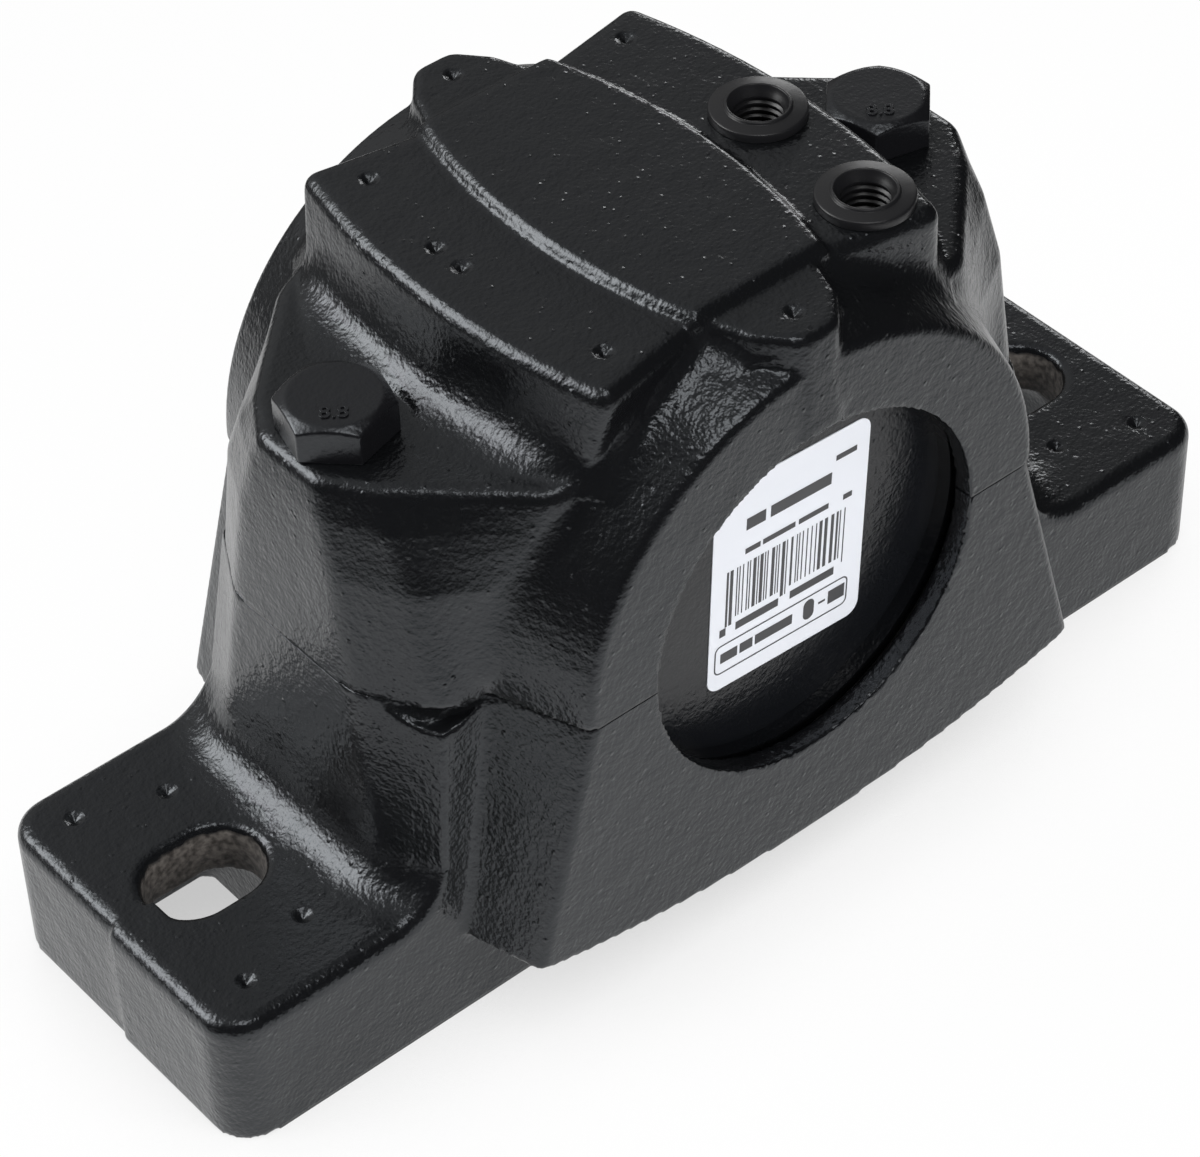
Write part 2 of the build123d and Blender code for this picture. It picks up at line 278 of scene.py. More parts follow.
# %% Group for the skin's height
def make_skin_group():
    """Height of a painted casting's skin, in millimetres, and a slow blotch mask."""
    group = bpy.data.node_groups.new("cast skin", "ShaderNodeTree")
    for name in skin_layers:
        group_socket(group, name, "NodeSocketFloat", "INPUT", 0.1)
    group_socket(group, "Height", "NodeSocketFloat", "OUTPUT")
    group_socket(group, "Blotch", "NodeSocketFloat", "OUTPUT")
    given = group.nodes.new("NodeGroupInput")
    out = group.nodes.new("NodeGroupOutput")
    place = group.nodes.new("ShaderNodeTexCoord").outputs["Object"]
    height = math_node(group, "MULTIPLY", noise_node(group, place, peel_scale, 1.0), given.outputs["Peel"])
    layers = (("Ripple", noise_node(group, place, ripple_scale, 1.0)),
              ("Wave", noise_node(group, place, wave_scale, 1.0)),
              ("Nibs", grains(group, place, nib_scale, nib_reach, nib_rarity)))
    for name, source in layers:
        height = math_node(group, "ADD", height, math_node(group, "MULTIPLY", source, given.outputs[name]))
    pits = grains(group, place, pit_scale, pit_reach, pit_rarity)
    pits = math_node(group, "MULTIPLY", pits, given.outputs["Pits"])
    group.links.new(math_node(group, "SUBTRACT", height, pits), out.inputs["Height"])
    group.links.new(noise_node(group, place, blotch_scale, 3.0), out.inputs["Blotch"])
    return group


skin_group = make_skin_group()
print("shader group made:", skin_group.name)

# %% [markdown]
# ## Bare walls in the slots
#
# The paint hardly reached the walls of the two fixing slots. A second material on those faces
# would end in a hard line, so a mask is drawn in the shader instead: it is 1 where a point lies
# within the slot's outline, which is a stadium round the slot's middle line, and below the foot's
# top by a ragged margin. The margins say where the mask is full and where it is none: outwards
# from the wall, and down from the foot's top.

# %% Margins of the bare walls
wall_full, wall_none = 0.1 * MM, 0.5 * MM
bare_full, bare_none = 0.9 * MM, 0.3 * MM
ragged_scale, ragged_h = 500, 1.6 * MM


# %% Group for the slot mask
def make_slot_group():
    """1 on the bare walls of the two fixing slots, 0 elsewhere."""
    group = bpy.data.node_groups.new("slot walls", "ShaderNodeTree")
    group_socket(group, "Bare", "NodeSocketFloat", "OUTPUT")
    out = group.nodes.new("NodeGroupOutput")
    place = group.nodes.new("ShaderNodeTexCoord").outputs["Object"]
    axes = group.nodes.new("ShaderNodeSeparateXYZ")
    group.links.new(place, axes.inputs[0])
    from_slot = math_node(group, "SUBTRACT", math_node(group, "ABSOLUTE", axes.outputs["X"]), slot_x)
    past_run = math_node(group, "SUBTRACT", math_node(group, "ABSOLUTE", from_slot), slot_run)
    past_run = math_node(group, "MAXIMUM", past_run, 0.0)
    square = math_node(group, "MULTIPLY", past_run, past_run)
    square_y = math_node(group, "MULTIPLY", axes.outputs["Y"], axes.outputs["Y"])
    apart = math_node(group, "SQRT", math_node(group, "ADD", square, square_y))
    inside = ramp_node(group, apart, slot_r + wall_full, slot_r + wall_none, 1.0, 0.0)
    ragged = math_node(group, "MULTIPLY", noise_node(group, place, ragged_scale, 2.0), ragged_h)
    height = math_node(group, "ADD", axes.outputs["Z"], ragged)
    below = ramp_node(group, height, foot_h - bare_full, foot_h - bare_none, 1.0, 0.0)
    group.links.new(math_node(group, "MULTIPLY", inside, below), out.inputs["Bare"])
    return group


slot_group = make_slot_group()
print("shader group made:", slot_group.name)

# %% [markdown]
# ## Materials
#
# The paint is a near-black with a trace of blue, and fairly glossy. On a flat face the gloss
# shows as a plain grey sheen, and on the blends it breaks up into fine streaks, which is the
# skin's height at work. Inside the slots the paint gives way to rough, brownish iron. Every
# material takes the same skin group with its own heights, so the finishes belong together.


# %% Helpers for materials
def new_material(name, colour, roughness, metallic=0.0, ior=1.5, tint=(1.0, 1.0, 1.0)):
    """A material with one shader, and its shader to go on with."""
    material = bpy.data.materials.new(name)
    material.use_nodes = True
    shader = material.node_tree.nodes["Principled BSDF"]
    shader.inputs["Base Color"].default_value = (*colour, 1)
    shader.inputs["Roughness"].default_value = roughness
    shader.inputs["Metallic"].default_value = metallic
    shader.inputs["IOR"].default_value = ior
    shader.inputs["Specular Tint"].default_value = (*tint, 1)
    return material, shader


blotch_low, blotch_high = 0.3, 0.7


def add_skin(material, shader, heights, rough_low, rough_high):
    """Feeds the cast skin, with its layers' heights in millimetres, to bump and roughness."""
    tree = material.node_tree
    skin = tree.nodes.new("ShaderNodeGroup")
    skin.node_tree = skin_group
    for name in skin_layers:
        skin.inputs[name].default_value = heights.get(name, 0.0)
    bump = tree.nodes.new("ShaderNodeBump")
    bump.inputs["Strength"].default_value = 1.0
    bump.inputs["Distance"].default_value = MM
    tree.links.new(skin.outputs["Height"], bump.inputs["Height"])
    tree.links.new(bump.outputs["Normal"], shader.inputs["Normal"])
    rough = ramp_node(tree, skin.outputs["Blotch"], blotch_low, blotch_high, rough_low, rough_high)
    tree.links.new(rough, shader.inputs["Roughness"])
    return rough


# %% Helper for the bare iron
iron_dark, iron_pale = (0.030, 0.026, 0.023, 1.0), (0.120, 0.108, 0.098, 1.0)
iron_grain_scale, iron_grain_low, iron_grain_high = 900, 0.35, 0.65
iron_rough = 0.7


def add_bare_iron(material, shader, paint_colour, paint_rough):
    """Lets brownish iron show on the slot walls."""
    tree = material.node_tree
    slots = tree.nodes.new("ShaderNodeGroup")
    slots.node_tree = slot_group
    bare = slots.outputs["Bare"]
    place = tree.nodes.new("ShaderNodeTexCoord").outputs["Object"]
    grain = noise_node(tree, place, iron_grain_scale, 3.0)
    grain = ramp_node(tree, grain, iron_grain_low, iron_grain_high)
    iron = mix_values(tree, grain, iron_dark, iron_pale, "RGBA")
    colour = mix_values(tree, bare, (*paint_colour, 1.0), iron, "RGBA")
    tree.links.new(colour, shader.inputs["Base Color"])
    rough = mix_values(tree, bare, paint_rough, iron_rough, "FLOAT")
    tree.links.new(rough, shader.inputs["Roughness"])


# %% Paint on the castings and the bolts
paint_colour = (0.0050, 0.0053, 0.0060)
paint_ior = 1.55
cool = (0.90, 0.95, 1.0)
paint_heights = {"Peel": 0.11, "Ripple": 0.11, "Wave": 0.2, "Nibs": 0.11, "Pits": 0.10}
paint, paint_shader = new_material("black paint over iron", paint_colour, 0.2, ior=paint_ior, tint=cool)
paint_rough = add_skin(paint, paint_shader, paint_heights, 0.21, 0.28)
add_bare_iron(paint, paint_shader, paint_colour, paint_rough)

bolt_colour = (0.006, 0.006, 0.007)
bolt_paint, bolt_shader = new_material("paint on the bolts", bolt_colour, 0.2, ior=paint_ior, tint=cool)
add_skin(bolt_paint, bolt_shader, {"Peel": 0.06, "Ripple": 0.05, "Pits": 0.04}, 0.22, 0.32)
print("paints:", paint.name, "and", bolt_paint.name)

# %% Finishes of the small parts
moulding, moulding_shader = new_material("black moulded plastic", (0.009, 0.009, 0.010), 0.3)
add_skin(moulding, moulding_shader, {"Peel": 0.008, "Ripple": 0.02}, 0.30, 0.38)

cover_paint, cover_shader = new_material("paint on the cover", (0.006, 0.0066, 0.008), 0.3)
add_skin(cover_paint, cover_shader, {"Peel": 0.09, "Ripple": 0.12, "Nibs": 0.08}, 0.24, 0.32)

rubber, rubber_shader = new_material("black rubber", (0.012, 0.012, 0.012), 0.6)
add_skin(rubber, rubber_shader, {"Peel": 0.02, "Ripple": 0.01}, 0.55, 0.7)

steel, steel_shader = new_material("ground steel", (0.55, 0.55, 0.57), 0.3, metallic=1.0)
add_skin(steel, steel_shader, {"Peel": 0.003}, 0.2, 0.35)

paper, paper_shader = new_material("label paper", (0.76, 0.78, 0.83), 0.45)
add_skin(paper, paper_shader, {"Peel": 0.002, "Wave": 0.01}, 0.4, 0.5)

ink, ink_shader = new_material("printing ink", (0.055, 0.055, 0.058), 0.5)
add_skin(ink, ink_shader, {"Peel": 0.002}, 0.45, 0.55)
print("materials:", [m.name for m in bpy.data.materials])

# %% [markdown]
# ## The castings, first step: an even mesh
#
# A pattern maker runs wax along every inside corner of the pattern, so that the sand doesn't
# tear there, and the iron comes out with wide hollow blends. Outer edges come out rounded too, but
# much tighter. CAD fillets can't follow corners where five faces meet, and a Bevel modifier needs
# clean edges, so the castings get their skin here. The CAD shape is wrapped in an even mesh of
# half a millimetre, whose points are then moved a little.

# %% Wrap a CAD node
wrap_size = 0.5 * MM
weld_gap = 0.002 * MM


def wrapped_copy(node, name, size):
    """A closed, even mesh round a copy of the CAD node."""
    casting = bpy.data.objects.new(name, nodes[node].data.copy())
    bpy.context.scene.collection.objects.link(casting)
    pick(casting)
    bpy.ops.object.mode_set(mode="EDIT")
    bpy.ops.mesh.select_all(action="SELECT")
    bpy.ops.mesh.remove_doubles(threshold=weld_gap)
    bpy.ops.object.mode_set(mode="OBJECT")
    apply_modifier(casting, "REMESH", mode="VOXEL", voxel_size=size, use_smooth_shade=True)
    return casting


# %% [markdown]
# ## The castings, second step: what stays crisp
#
# Turned, milled and clamped faces meet the neighbouring parts, so no wax reaches them. The small
# pit marks on the deck and the feet are kept too, and are pressed in again at the end on a finer
# mesh. In the CAD node, each pit mark ends in a small ring of points at its bottom, which is how
# it is found. A few stray points at that level make no mark.

# %% Find the pit marks and the bolts
mark_depth, mark_r = 1.7 * MM, 1.8 * MM
bottom_lift, bottom_slack = 0.01 * MM, 0.03 * MM
most_strays = 4


def find_marks(node, level):
    """Middles of the pit marks in the face at this level."""
    bottom = level - mark_depth + bottom_lift
    rings = []
    for vertex in nodes[node].data.vertices:
        if abs(vertex.co.z - bottom) > bottom_slack:
            continue
        near = [ring for ring in rings if (ring[0] - vertex.co).length < mark_r]
        if near:
            near[0].append(vertex.co.copy())
        else:
            rings.append([vertex.co.copy()])
    return [sum(ring, Vector()) / len(ring) for ring in rings if len(ring) > most_strays]


def halves(node):
    """Middles of a node's two solids, which lie apart in X or in Y."""
    rows = np.array([vertex.co for vertex in nodes[node].data.vertices])
    axis = int(np.argmax(np.ptp(rows[:, :2], axis=0)))
    middle = (rows[:, axis].min() + rows[:, axis].max()) / 2
    groups = (rows[rows[:, axis] < middle], rows[rows[:, axis] >= middle])
    return [(group.min(axis=0) + group.max(axis=0)) / 2 for group in groups]


# %% Places that stay crisp
seat_margin, mouth_margin = 1.2 * MM, 0.9 * MM
split_margin, underside_margin = 0.2 * MM, 0.4 * MM


def apart_from(rows, x, y):
    """How far each point lies from an upright line."""
    return np.hypot(rows[:, 0] - x, rows[:, 1] - y)


def by_marks(rows, marks, level, reach):
    """Which points lie near a pit mark."""
    near = np.zeros(len(rows), bool)
    for mark in marks:
        near |= (apart_from(rows, mark.x, mark.y) < reach) & (np.abs(rows[:, 2] - level) < 2 * mark_depth)
    return near


def turned_places(rows):
    """Which points lie on faces that are turned, milled or clamped."""
    from_axis = np.hypot(rows[:, 0], rows[:, 2] - split_z)
    inside = (from_axis < seat_r + seat_margin) & (np.abs(rows[:, 1]) < -front_y - seat_margin)
    mouth = from_axis < opening_r + mouth_margin
    split = np.abs(rows[:, 2] - split_z) < split_margin
    underside = rows[:, 2] < underside_margin
    return inside | mouth | underside | split


# %% [markdown]
# ## The castings, third step: wax in the inside corners
#
# A copy of the mesh is melted with the Smooth modifier. Melting hollows out the outer edges and
# fills the inside corners, and only the filling is wanted, so the casting takes over the melted
# point only where that lies further out. How much it takes differs from place to place: little in
# the valley beside the skirt, none on the deck, where the foot of the raised panel has to stay
# sharp, and much more where the deck rises out of the two bolt pads.

# %% Melt a copy and take its filling
wax_passes, deep_passes = 180, 650


def melted(piece, passes):
    """The points of the mesh after so many passes of the Smooth modifier."""
    soft = bpy.data.objects.new("soft copy", piece.data.copy())
    bpy.context.scene.collection.objects.link(soft)
    apply_modifier(soft, "SMOOTH", factor=0.5, iterations=passes)
    rows = points_of(soft)
    bpy.data.objects.remove(soft)
    return rows


def wax(piece, passes, share):
    """Fills the inside corners: takes the melted copy's points only where they lie further out."""
    rows = points_of(piece)
    shift = melted(piece, passes) - rows
    outward = (shift * points_of(piece, "normal")).sum(axis=1, keepdims=True) > 0
    put_points(piece, rows + shift * outward * share[:, None])


# %% Where the wax goes
valley_y_low, valley_y_high = 24 * MM, 34 * MM
valley_x_low, valley_x_high = 44 * MM, 66 * MM
valley_drop, valley_share = 2 * MM, 0.3
deck_guard = 0.6 * MM
deep_from_x, deep_fade_x = 24 * MM, 8 * MM
pad_guard = 2 * MM
bolt_keep_r, bolt_fade = 10.5 * MM, 2 * MM


def wax_share(rows):
    """How much wax each point may take."""
    across, along = np.abs(rows[:, 0]), np.abs(rows[:, 1])
    valley = (along > valley_y_low) & (along < valley_y_high)
    valley = valley & (across > valley_x_low) & (across < valley_x_high)
    share = np.where(valley & (rows[:, 2] < split_z - valley_drop), valley_share, 1.0)
    return np.where(rows[:, 2] > deck_z - deck_guard, 0.0, share)


def deep_share(rows):
    """1 where the deck rises out of the two bolt pads, 0 elsewhere and under the bolt heads."""
    sideways_share = np.clip((np.abs(rows[:, 0]) - deep_from_x) / deep_fade_x, 0, 1)
    share = sideways_share * (rows[:, 2] > pad_z - pad_guard)
    for spot in halves("cap_bolts"):
        share = share * np.clip((apart_from(rows, spot[0], spot[1]) - bolt_keep_r) / bolt_fade, 0, 1)
    return share


# %% [markdown]
# ## The castings, fourth step: eased edges
#
# For the outer edges the melted copy is taken as it is, but after a few passes only. The foot of
# the raised panel would be washed out by it and takes a quarter. The panel's own upper edge is
# rounder than the rest in the casting and takes some more passes.

# %% Where edges are eased
edge_passes, panel_passes = 4, 24
toe_low, toe_high, toe_share = -0.3 * MM, 0.8 * MM, 0.25
brow_low, brow_fade = 0.7 * MM, 0.6 * MM


def edge_share(rows):
    """How far edges are eased: hardly at the foot of the raised panel, fully elsewhere."""
    above = rows[:, 2] - deck_z
    return np.where((above > toe_low) & (above < toe_high), toe_share, 1.0)


def panel_share(rows):
    """1 on the raised panel's upper edge, 0 at its foot and below."""
    return np.clip((rows[:, 2] - deck_z - brow_low) / brow_fade, 0, 1)


# %% [markdown]
# ## The castings, last step: pit marks
#
# The marks are cones less than two millimetres deep, too small for the even mesh. The mesh is
# thinned out first, which hardly changes the flat faces, then cut finer round each mark, and the
# cone is pressed into it.

# %% Press in the pit marks
press_depth, press_curve = 1.0 * MM, 1.25
rim_slack = 0.1 * MM


def press_marks(piece, marks, level):
    """Makes the mesh finer round each pit mark and presses a clean cone into it."""
    pick(piece)
    bpy.ops.object.mode_set(mode="EDIT")
    bpy.ops.mesh.select_mode(type="VERT")
    bpy.ops.mesh.select_all(action="DESELECT")
    bpy.ops.object.mode_set(mode="OBJECT")
    near = by_marks(points_of(piece), marks, level, mark_r + wrap_size)
    piece.data.vertices.foreach_set("select", near)
    bpy.ops.object.mode_set(mode="EDIT")
    bpy.ops.mesh.subdivide(number_cuts=2)
    bpy.ops.object.mode_set(mode="OBJECT")
    rows = points_of(piece)
    for mark in marks:
        inside = by_marks(rows, [mark], level, mark_r + rim_slack)
        slope = np.clip(1 - apart_from(rows, mark.x, mark.y) / mark_r, 0, 1)
        cone = level - press_depth * slope ** press_curve
        rows[inside, 2] = cone[inside]
    put_points(piece, rows)


# %% [markdown]
# ## Both castings
#
# The steps run one after the other. Only the cap has a deck, so only the cap gets the deep wax
# and the rounder panel edge. At the end the shading is weighted by the size of the faces, so the
# large flat faces shade flat right up to their rounded edges.

# %% Cast the base and the cap
skin_limit = 180000
keep_margin = 1.0 * MM
normal_weight = 60


def cast(node, name, level):
    """The finished casting that stands for a CAD node, with pit marks at one level."""
    piece = wrapped_copy(node, name, wrap_size)
    marks = find_marks(node, level)
    print(name, "has", len(marks), "pit marks")
    crisp = points_of(piece)
    keep = turned_places(crisp) | by_marks(crisp, marks, level, mark_r + keep_margin)
    share = np.where(keep, 0.0, 1.0)
    wax(piece, wax_passes, share * wax_share(crisp))
    if level == deck_z:
        wax(piece, deep_passes, share * deep_share(crisp))
    waxed = points_of(piece)
    eased = (share * edge_share(waxed))[:, None]
    put_points(piece, waxed + (melted(piece, edge_passes) - waxed) * eased)
    if level == deck_z:
        edged = points_of(piece)
        put_points(piece, edged + (melted(piece, panel_passes) - edged) * panel_share(edged)[:, None])
    triangles = 2 * len(piece.data.polygons)
    apply_modifier(piece, "DECIMATE", ratio=min(1.0, skin_limit / triangles))
    press_marks(piece, marks, level)
    pick(piece)
    bpy.ops.object.shade_smooth()
    apply_modifier(piece, "WEIGHTED_NORMAL", mode="FACE_AREA", weight=normal_weight)
    return piece


base = cast("base_casting", "base_skin", foot_h)
settle(base, "casting", "base_casting", paint)
cap = cast("cap_casting", "cap_skin", deck_z)
settle(cap, "casting", "cap_casting", paint)

# %% [markdown]
# ## The bolts
#
# The bolts were painted with the housing, so the paint rounds every edge of their heads. They
# are wrapped and melted like the castings, on a finer mesh and with only a few passes. Such heads
# carry a raised strength grade, here 8.8, which only tells the steel. It is written with a text
# object, which is made a mesh and joined to the bolts.

# %% Painted bolts
bolt_wrap = 0.22 * MM
bolt_passes = 5
bolt_thinning = 0.4
bolts = wrapped_copy("cap_bolts", "painted_bolts", bolt_wrap)
put_points(bolts, melted(bolts, bolt_passes))
apply_modifier(bolts, "DECIMATE", ratio=bolt_thinning)

# %% Strength grade on the heads
mark_out, mark_size, mark_rise = 4.2 * MM, 3.6 * MM, 0.18 * MM


def grade_mark(middle):
    """The strength grade on one head, on the side of the camera."""
    towards = Vector((back.x, back.y, 0)).normalized()
    place = Vector((middle[0], middle[1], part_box("cap_bolts")[1].z)) + towards * mark_out
    turn = math.atan2(level_right.y, level_right.x)
    bpy.ops.object.text_add(location=place, rotation=(0, 0, turn))
    mark = bpy.context.object
    mark.data.body = "8.8"
    mark.data.size = mark_size
    mark.data.align_x, mark.data.align_y = "CENTER", "CENTER"
    mark.data.extrude = mark_rise
    mark.data.bevel_depth = mark_rise / 3
    bpy.ops.object.convert(target="MESH")
    return mark


grade_marks = [grade_mark(middle) for middle in halves("cap_bolts")]
pick(bolts)
for mark in grade_marks:
    mark.select_set(True)
bpy.ops.object.join()
pick(bolts)
bpy.ops.object.shade_smooth()
settle(bolts, "bolt_steel", "cap_bolts", bolt_paint)

# %% [markdown]
# ## The lubrication plugs
#
# Each plug is a turned shape: its outline, from the bottom of the bore over the lip and the
# flange to the underside, is drawn once as a list of radius and height, and spun about the plug's
# axis. The lip is a thin ring at the mouth, and a few rounds of thread show below it. They are
# plain rings, because the slope of so fine a thread can't be seen.

# %% Outline of a plug
thread_rounds, thread_low, thread_pitch = 4, -4.4, 1.25


def plug_outline():
    """Radius and height of the plug's outline, in millimetres, above the deck."""
    points = [(0.0, -5.0), (3.4, -5.0), (3.8, -4.7)]
    for turn in range(thread_rounds):
        foot = thread_low + thread_pitch * turn
        points += [(4.25, foot), (4.25, foot + 0.35), (3.8, foot + 0.65), (3.8, foot + 0.95)]
    points += [(4.2, 0.9), (4.55, 1.55), (4.65, 1.95), (4.85, 2.05), (5.1, 1.95), (5.25, 1.6)]
    points += [(7.2, 1.55), (7.5, 1.4), (7.6, 1.1), (7.6, 0.05), (5.1, 0.05), (5.1, -8.0), (0.0, -8.0)]
    return points


# %% Spin both plugs
spin_steps = 72
spin_weld = 0.004 * MM
plug_bevel = 0.06 * MM


def spin_outline(name, outline, place):
    """A turned piece with an upright axis through a place."""
    mesh = bpy.data.meshes.new(name)
    rows = [(place[0] + r * MM, place[1], place[2] + z * MM) for r, z in outline]
    mesh.from_pydata(rows, [(i, i + 1) for i in range(len(rows) - 1)], [])
    piece = bpy.data.objects.new(name, mesh)
    bpy.context.scene.collection.objects.link(piece)
    pick(piece)
    bpy.ops.object.mode_set(mode="EDIT")
    bpy.ops.mesh.select_all(action="SELECT")
    bpy.ops.mesh.spin(steps=spin_steps, angle=math.tau, center=place, axis=(0, 0, 1))
    bpy.ops.mesh.select_all(action="SELECT")
    bpy.ops.mesh.remove_doubles(threshold=spin_weld)
    bpy.ops.mesh.normals_make_consistent(inside=False)
    bpy.ops.object.mode_set(mode="OBJECT")
    return piece


plugs = []
for number, middle in enumerate(halves("lubrication_plugs"), 1):
    plug = spin_outline(f"plug_{number}", plug_outline(), (middle[0], middle[1], deck_z))
    apply_modifier(plug, "BEVEL", width=plug_bevel, segments=2, limit_method="ANGLE")
    pick(plug)
    bpy.ops.object.shade_smooth()
    plugs.append(plug)
    settle(plug, "plug_plastic", None, moulding)
for plug in plugs:
    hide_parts("lubrication_plugs")

# %% [markdown]
# ## CAD pieces that keep their shape
#
# The pins, cover, cord and label are right as they are and only get their finish.

# %% Finishes on the CAD nodes
finishes = {"locating_pins": steel, "end_cover": cover_paint, "seal_cord": rubber, "cover_label": paper}
for name, material in finishes.items():
    nodes[name].data.materials.clear()
    nodes[name].data.materials.append(material)
    print("finish on", name)

# %% [markdown]
# ## The print on the label
#
# The print is plain bars, blocks and a rounded frame. An image would be lost in other programs,
# so the ink is a piece of its own, a few hundredths of a millimetre thick. Places are counted in
# millimetres from the label's lower left corner, and the whole print is turned with the label.

# %% Places on the label
label_w, label_h = 31 * MM, 39 * MM
label_turn = math.radians(-3.0)
ink_t = 0.03 * MM
label_low, label_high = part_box("cover_label")
label_middle = (label_low + label_high) / 2


def on_label(u, v):
    """The point of the ink's face that lies u to the right and v up, in millimetres."""
    flat = Matrix.Rotation(-label_turn, 3, "Y") @ Vector((u * MM - label_w / 2, 0, v * MM - label_h / 2))
    return Vector((label_middle.x, label_low.y - ink_t, label_middle.z)) + flat


# %% Blocks, patches and frames of ink
corner_steps = 4


def print_block(sheet, u, v, width, height):
    """Adds one thin block of ink."""
    corners = [(u, v), (u + width, v), (u + width, v + height), (u, v + height)]
    face = sheet.faces.new([sheet.verts.new(on_label(*corner)) for corner in corners])
    face.normal_flip()


def rounded_ring(sheet, u, v, width, height, corner, inset=0.0):
    """The points of a rounded rectangle, set in by some of its corner radius."""
    ring = []
    for quarter in range(4):
        side_u = u + (width - corner if quarter in (0, 3) else corner)
        side_v = v + (height - corner if quarter in (0, 1) else corner)
        for step in range(corner_steps + 1):
            angle = math.radians(90 * quarter + 90 / corner_steps * step)
            reach = corner - inset
            ring.append((side_u + reach * math.cos(angle), side_v + reach * math.sin(angle)))
    return [sheet.verts.new(on_label(*point)) for point in ring]


def print_patch(sheet, *shape):
    """Adds a filled patch with round corners."""
    sheet.faces.new(reversed(rounded_ring(sheet, *shape)))


def print_frame(sheet, line, *shape):
    """Adds a frame with round corners and this line width."""
    outer, inner = rounded_ring(sheet, *shape), rounded_ring(sheet, *shape, line)
    for i in range(len(outer)):
        j = (i + 1) % len(outer)
        sheet.faces.new((outer[i], inner[i], inner[j], outer[j]))


# %% Bars
bars = random.Random(7)
bars_left, bars_right, bars_low, bars_h = 3.0, 27.0, 13.4, 9.6
guard_h = 1.2


def print_bars(sheet):
    """Adds a row of bars of different widths. Those at both ends and in the middle are longer."""
    u = bars_left
    while u < bars_right:
        width = bars.choice((0.2, 0.2, 0.4, 0.6))
        guard = guard_h if u < 4.0 or 14.0 < u < 15.6 or u > 26.0 else 0.0
        print_block(sheet, u, bars_low - guard, width, bars_h + guard)
        u += width + bars.choice((0.3, 0.5, 0.7))


# %% Print the label
# Rows of blocks: lower edge and height, then left edge and width of each block.
block_rows = (
    (10.6, 1.5, ((2.0, 1.2), (5.2, 8.6), (16.2, 9.0))),
    (29.4, 2.2, ((6.5, 3.8), (11.3, 12.2))),
    (24.8, 1.0, ((6.5, 3.0), (10.0, 6.5), (17.2, 6.0), (26.2, 1.8))),
    (33.4, 1.0, ((24.2, 4.2),)),
    (5.2, 1.9, ((2.4, 3.4), (6.3, 2.6), (9.4, 7.6))),
    (6.0, 0.4, ((22.4, 1.4),)),
    (4.9, 2.6, ((24.4, 3.4),)),
)
# Left and lower edge, width, height and corner radius.
frame_shape, frame_line = (1.2, 3.1, 27.2, 5.8, 1.2), 0.25
patch_shape = (19.3, 4.2, 2.2, 3.9, 1.05)


def print_label():
    """The whole print as one piece."""
    sheet = bmesh.new()
    print_bars(sheet)
    for low, height, blocks in block_rows:
        for start, width in blocks:
            print_block(sheet, start, low, width, height)
    print_frame(sheet, frame_line, *frame_shape)
    print_patch(sheet, *patch_shape)
    mesh = bpy.data.meshes.new("label_print")
    sheet.to_mesh(mesh)
    sheet.free()
    piece = bpy.data.objects.new("label_print", mesh)
    bpy.context.scene.collection.objects.link(piece)
    apply_modifier(piece, "SOLIDIFY", thickness=ink_t, offset=-1.0)
    return piece


settle(print_label(), "label_paper", None, ink)

# %% [markdown]
# ## The table
#
# A black glossy thing shows its shape only by what it mirrors: the upright faces mirror the white
# table and look grey, the flat tops mirror the dark upper part of the room and look black, and
# each blend mirrors one of the soft boxes as a pale streak. So the table is not simply white. The
# camera sees it white all over, with a painted soft shade close to the housing. Its colour, and the
# glow that mirrored rays and soft light find, are a painted pool of light: bright only close by and
# dark further out, so rays that leave low over it find a dark room.

# %% Table
table_size = 6
table_fade, table_reach = 0.10, 0.42
painted_pool_bright = 1.25
shade_reach, shade_samples = 0.04, 3
open_low, open_high, shade_low = 0.1, 0.5, 0.55
camera_part, mirror_part = 0.97, 0.4
table_dark, table_white = (0.1, 0.1, 0.1, 1.0), (0.9, 0.9, 0.9, 1.0)

bpy.ops.mesh.primitive_plane_add(size=table_size, location=(0, 0, 0))
floor = bpy.context.object
floor.name = "table"
white, white_shader = new_material("white table", table_white[:3], 0.6)
tree = white.node_tree
path = tree.nodes.new("ShaderNodeLightPath")
place = tree.nodes.new("ShaderNodeTexCoord").outputs["Object"]
far = tree.nodes.new("ShaderNodeVectorMath")
far.operation = "LENGTH"
tree.links.new(place, far.inputs[0])
# Painted pool of light: the glow and the colour are bright near the housing and fade to dark further out.
painted_light_pool = ramp_node(tree, far.outputs["Value"], table_fade, table_reach, painted_pool_bright, 0.0)
# Painted shade: ambient occlusion dims the glow that the camera sees close to the housing.
closed_in = tree.nodes.new("ShaderNodeAmbientOcclusion")
closed_in.inputs["Distance"].default_value = shade_reach
closed_in.samples = shade_samples
shade = ramp_node(tree, closed_in.outputs["AO"], open_low, open_high, shade_low, 1.0)
glow = tree.nodes.new("ShaderNodeEmission")
glow.inputs["Color"].default_value = (1, 1, 1, 1)
strength = mix_values(tree, path.outputs["Is Camera Ray"], painted_light_pool, shade, "FLOAT")
tree.links.new(strength, glow.inputs["Strength"])
tree.links.new(mix_values(tree, painted_light_pool, table_dark, table_white, "RGBA"), white_shader.inputs["Base Color"])
by_camera = math_node(tree, "MULTIPLY", path.outputs["Is Camera Ray"], camera_part)
by_mirror = math_node(tree, "MULTIPLY", path.outputs["Is Glossy Ray"], mirror_part)
seen = math_node(tree, "MAXIMUM", by_camera, by_mirror)
seen = math_node(tree, "MAXIMUM", seen, path.outputs["Is Transmission Ray"])
mix = tree.nodes.new("ShaderNodeMixShader")
tree.links.new(seen, mix.inputs["Fac"])
tree.links.new(white_shader.outputs[0], mix.inputs[1])
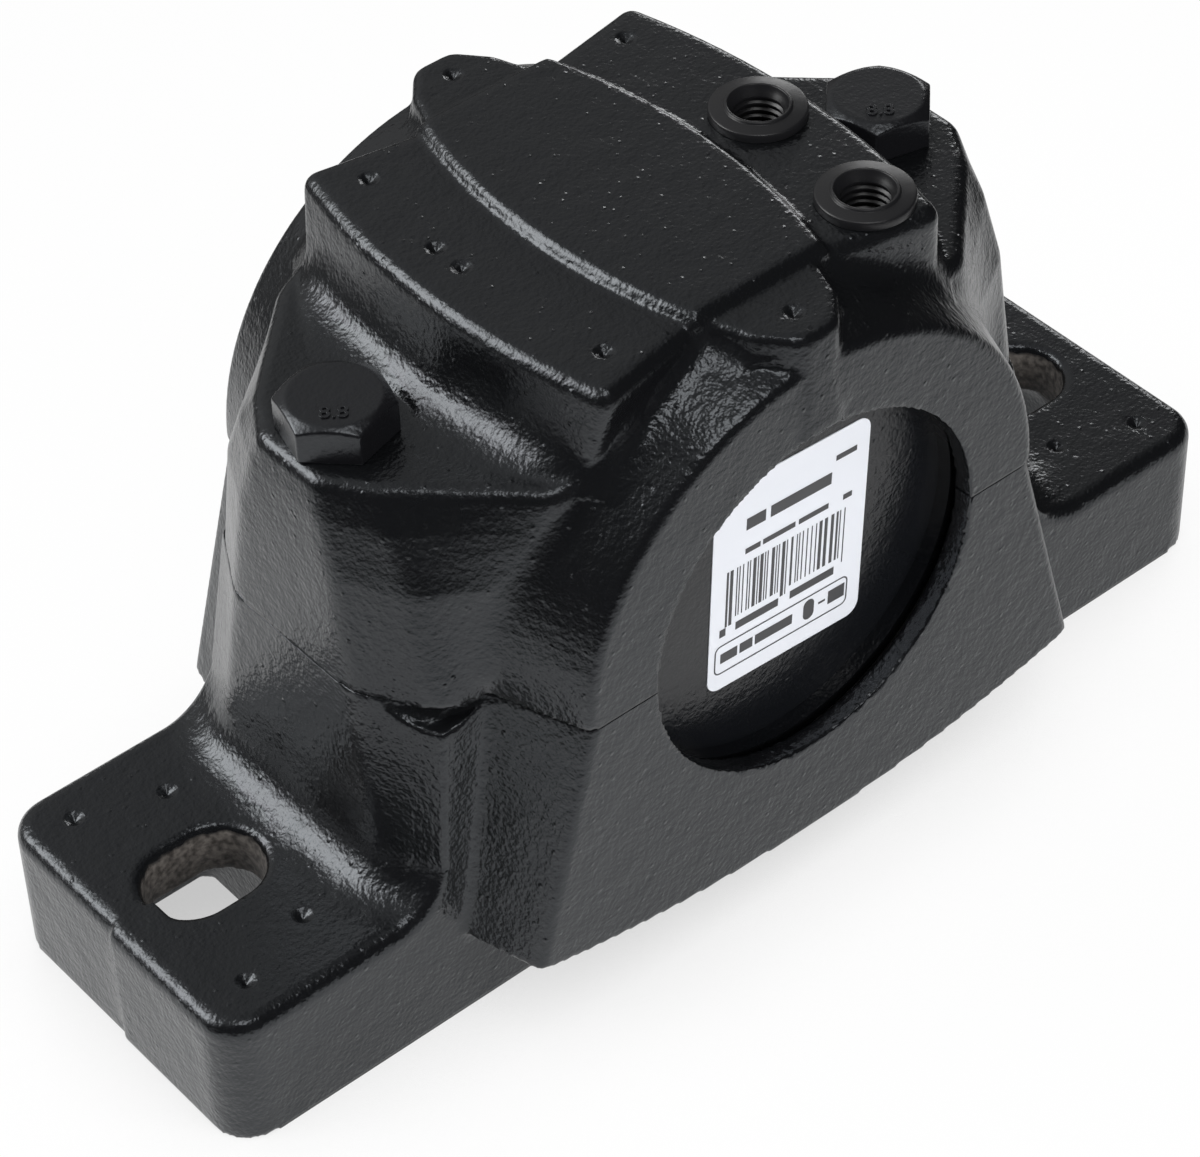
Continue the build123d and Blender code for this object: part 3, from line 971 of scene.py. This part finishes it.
tree.links.new(glow.outputs[0], mix.inputs[2])
tree.links.new(mix.outputs[0], tree.nodes["Material Output"].inputs["Surface"])
floor.data.materials.append(white)
print("table of", table_size, "m, bright to", table_reach, "m from the housing's middle")

# %% [markdown]
# ## The room
#
# The camera sees a white room. Everything else sees a dark one with one broad, dim glow high up
# behind the housing, which the flat tops mirror as a faint sheen.

# %% World
glow_way = Vector((-0.15, 0.72, 0.68)).normalized()
glow_rim, glow_middle = 0.4, 0.95
room_dark, room_glow = 0.02, 0.42

world = bpy.data.worlds.new("studio")
bpy.context.scene.world = world
world.use_nodes = True
tree = world.node_tree
dim = tree.nodes["Background"]
dim.inputs["Color"].default_value = (1, 1, 1, 1)
direction = tree.nodes.new("ShaderNodeTexCoord").outputs["Generated"]
lean = tree.nodes.new("ShaderNodeVectorMath")
lean.operation = "DOT_PRODUCT"
lean.inputs[1].default_value = glow_way
tree.links.new(direction, lean.inputs[0])
room = ramp_node(tree, lean.outputs["Value"], glow_rim, glow_middle, room_dark, room_glow)
tree.links.new(room, dim.inputs["Strength"])
backdrop = tree.nodes.new("ShaderNodeBackground")
backdrop.inputs["Strength"].default_value = 1.0
path = tree.nodes.new("ShaderNodeLightPath")
mix = tree.nodes.new("ShaderNodeMixShader")
tree.links.new(path.outputs["Is Camera Ray"], mix.inputs["Fac"])
tree.links.new(dim.outputs[0], mix.inputs[1])
tree.links.new(backdrop.outputs[0], mix.inputs[2])
tree.links.new(mix.outputs[0], tree.nodes["World Output"].inputs["Surface"])
print("world:", world.name)

# %% [markdown]
# ## The soft boxes
#
# Each lamp faces the middle of the housing. The box left behind, with a wider and weaker one round
# it, draws the long pale streaks on the left end and in the blends. The one overhead and the one
# far right draw the finer streaks. The fill in front lights the label and is never mirrored.

# %% Soft boxes
lamp_target = Vector((0, 0, 0.06))


def soft_box(name, direction, reach, width, height, radiance):
    """A rectangular lamp that faces the middle of the housing."""
    way = Vector(direction).normalized()
    bpy.ops.object.light_add(type="AREA", location=lamp_target + way * reach)
    lamp = bpy.context.object
    lamp.name = name
    lamp.data.shape = "RECTANGLE"
    lamp.data.size, lamp.data.size_y = width, height
    lamp.data.energy = radiance * math.pi * width * height
    lamp.rotation_mode = "QUATERNION"
    lamp.rotation_quaternion = way.to_track_quat("Z", "Y")
    print(name, "at", [round(v, 2) for v in lamp.location])
    return lamp


soft_box("box left behind", (-0.60, 0.56, 0.57), 1.2, 0.55, 0.55, 4)
soft_box("its wide edge", (-0.60, 0.56, 0.57), 1.25, 0.95, 0.95, 3)
soft_box("box overhead", (-0.12, -0.30, 0.94), 1.2, 0.45, 0.45, 4)
soft_box("box far right", (0.78, 0.58, 0.20), 1.4, 0.5, 0.25, 5)
fill = soft_box("fill in front", (-0.10, -0.90, 0.35), 1.3, 1.0, 0.8, 6.5)
fill.visible_glossy = False

bpy.context.scene.view_settings.view_transform = "Standard"
